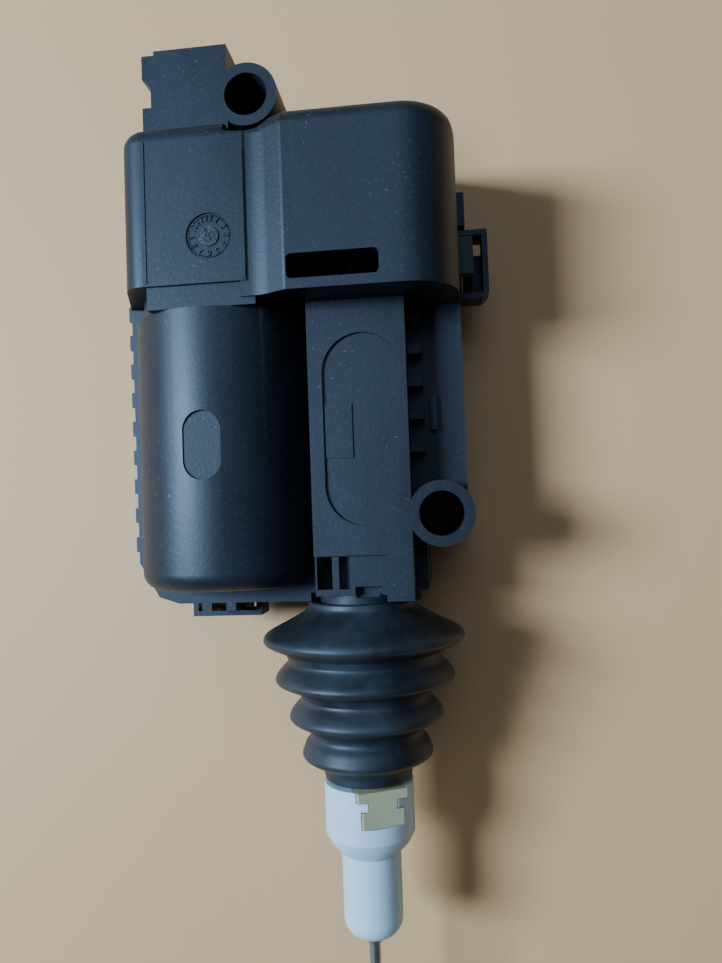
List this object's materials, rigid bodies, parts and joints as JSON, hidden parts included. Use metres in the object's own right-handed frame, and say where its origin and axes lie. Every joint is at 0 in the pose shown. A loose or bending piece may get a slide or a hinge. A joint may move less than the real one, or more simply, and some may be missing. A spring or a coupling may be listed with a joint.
{
  "type": "fuel flap lock",
  "caption": "Motor-driven locking pin for a fuel flap: black housing with plug socket, screw drive, rubber bellows and steel rod.",
  "frame": {"origin": "axis of the front fixing bore where it meets the mounting plane", "axes": "+Y along the lock rod's axis towards the plug socket, +Z along the fixing bore out of the moulded top face, +X to the deck side that holds the front fixing bore"},
  "size_m": [0.0638, 0.1942, 0.0348],
  "materials": {
    "housing_nylon": "black glass-filled nylon, fine moulded grain",
    "zinc_steel": "zinc plated deep drawn steel",
    "cap_plastic": "dark moulded end cap",
    "bush_bronze": "sintered bronze",
    "black_rubber": "matte rubber",
    "ferrite": "sintered ferrite",
    "carbon": "pressed carbon",
    "spring_bronze": "rolled strip",
    "core_steel": "stacked laminations",
    "copper": "copper",
    "bright_steel": "drawn steel",
    "pinion_brass": "cut brass",
    "gear_acetal": "black acetal",
    "plunger_acetal": "ivory acetal, satin",
    "adaptor_acetal": "cool white acetal, satin",
    "bellows_rubber": "matte moulded rubber",
    "tinned_brass": "tinned"
  },
  "bodies": {
    "housing": {"base_shell": "housing_nylon", "cover_shell": "housing_nylon", "motor_can": "zinc_steel", "motor_end_cap": "cap_plastic", "motor_front_bush": "bush_bronze", "motor_rear_bush": "bush_bronze", "motor_cushion": "black_rubber", "motor_magnets": "ferrite", "carbon_brushes": "carbon", "brush_arms": "spring_bronze", "gear_axle": "bright_steel", "bellows": "bellows_rubber", "front_bumper": "black_rubber", "rear_bumper": "black_rubber", "spindle_bush": "bush_bronze", "thrust_washer": "bright_steel", "contact_strip_left": "tinned_brass", "contact_strip_right": "tinned_brass"},
    "rotor": {"armature_core": "core_steel", "armature_windings": "copper", "commutator": "copper", "motor_shaft": "bright_steel", "motor_pinion": "pinion_brass"},
    "reduction": {"reduction_gear": "gear_acetal"},
    "spindle": {"spindle_gear": "gear_acetal", "lead_screw": "bright_steel"},
    "plunger": {"plunger": "plunger_acetal", "drive_nut": "gear_acetal", "rod_adaptor": "adaptor_acetal", "lock_rod": "bright_steel"}
  },
  "joints": [
    {"name": "rotor_spin", "type": "hinge", "parent": "housing", "child": "rotor", "pos_m": [-0.037, 0, 0.0175], "axis": [0, 1, 0], "range_deg": [-5292, 0]},
    {"name": "reduction_spin", "type": "hinge", "parent": "housing", "child": "reduction", "pos_m": [-0.03073, 0, 0.01037], "axis": [0, 1, 0], "range_deg": [0, 1890.1]},
    {"name": "spindle_spin", "type": "hinge", "parent": "housing", "child": "spindle", "pos_m": [-0.0142, 0, 0.0175], "axis": [0, 1, 0], "range_deg": [-540.1, 0]},
    {"name": "plunger_slide", "type": "slide", "parent": "housing", "child": "plunger", "axis": [0, 1, 0], "range_m": [0, 0.012], "deforming": ["bellows"]}
  ],
  "couplings": [
    {"joint": "reduction_spin", "follows": "rotor_spin", "ratio": -0.35714},
    {"joint": "spindle_spin", "follows": "rotor_spin", "ratio": 0.10204},
    {"joint": "plunger_slide", "follows": "rotor_spin", "m_per_rad": -0.00012992}
  ]
}
